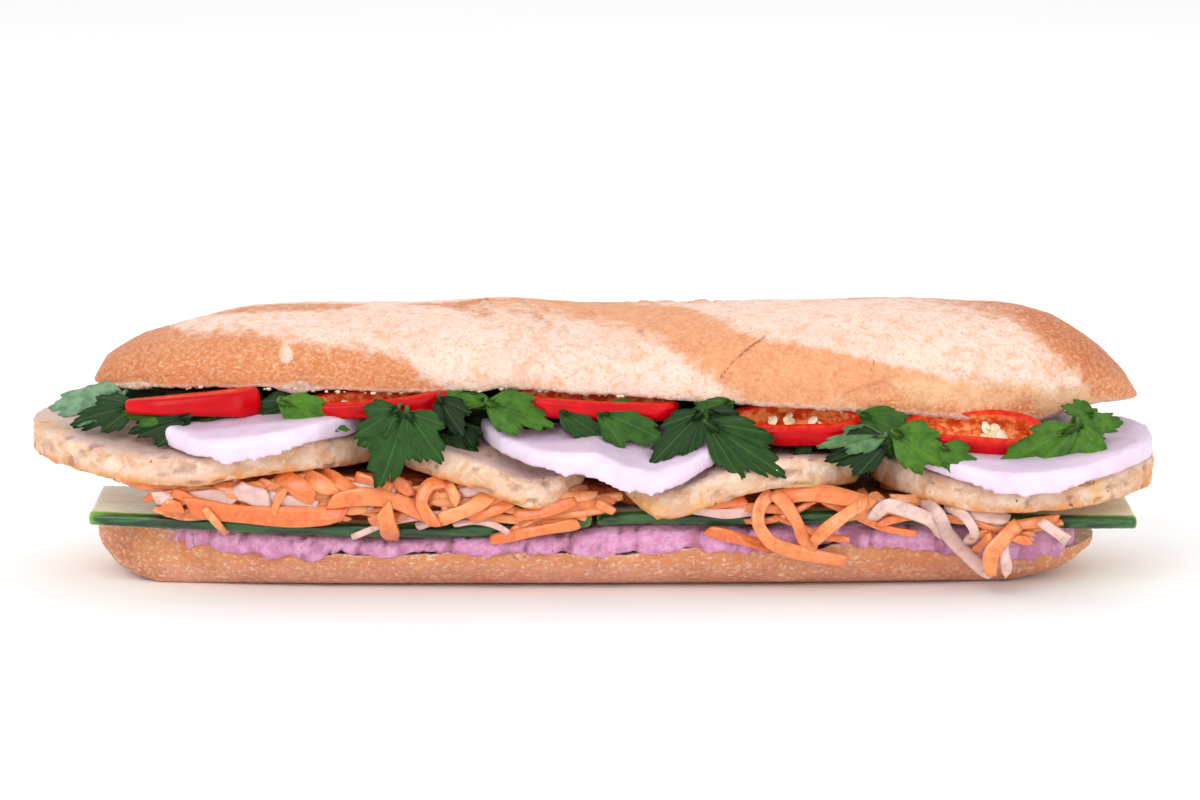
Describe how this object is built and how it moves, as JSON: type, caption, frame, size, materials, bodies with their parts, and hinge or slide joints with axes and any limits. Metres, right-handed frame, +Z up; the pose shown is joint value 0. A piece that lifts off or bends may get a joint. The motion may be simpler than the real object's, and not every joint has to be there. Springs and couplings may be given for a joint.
{
  "type": "banh mi sandwich",
  "caption": "Banh mi: a split baguette filled with pate, cucumber, pickled carrot and daikon, grilled pork, pale pork roll, coriander and red chilli",
  "frame": {"origin": "middle of the sandwich's footprint, on the plane that its base rests on", "axes": "+X along the loaf toward its higher pointed end, -Y toward the open front with the hanging filling, +Z up"},
  "size_m": [0.263, 0.0766, 0.0639],
  "materials": {
    "crust": "matt bread crust, golden brown with floury pale bands",
    "pate": "soft, lumpy and slightly moist, pink mauve",
    "cucumber": "wet pale flesh with a dark green skin edge",
    "pickle": "wet orange carrot and translucent white daikon strips",
    "meat": "grilled pork slice, beige with yellow and brown edges",
    "ham": "smooth and moist, very pale pink pork roll",
    "leaf": "fresh green leaf, slightly glossy",
    "chilli": "glossy wet red flesh with cream seeds"
  },
  "bodies": {
    "root": {"bread_bottom": "crust", "bread_top": "crust", "pate_spread": "pate", "cucumber_front_1": "cucumber", "cucumber_front_2": "cucumber", "cucumber_back_1": "cucumber", "cucumber_back_2": "cucumber", "pickled_shreds": "pickle", "meat_slice_1": "meat", "meat_slice_2": "meat", "meat_slice_3": "meat", "meat_slice_4": "meat", "ham_slice_1": "ham", "ham_slice_2": "ham", "ham_slice_3": "ham", "coriander": "leaf", "chilli_slice_1": "chilli", "chilli_slice_2": "chilli", "chilli_slice_3": "chilli", "chilli_slice_4": "chilli", "chilli_slice_5": "chilli"}
  },
  "joints": []
}
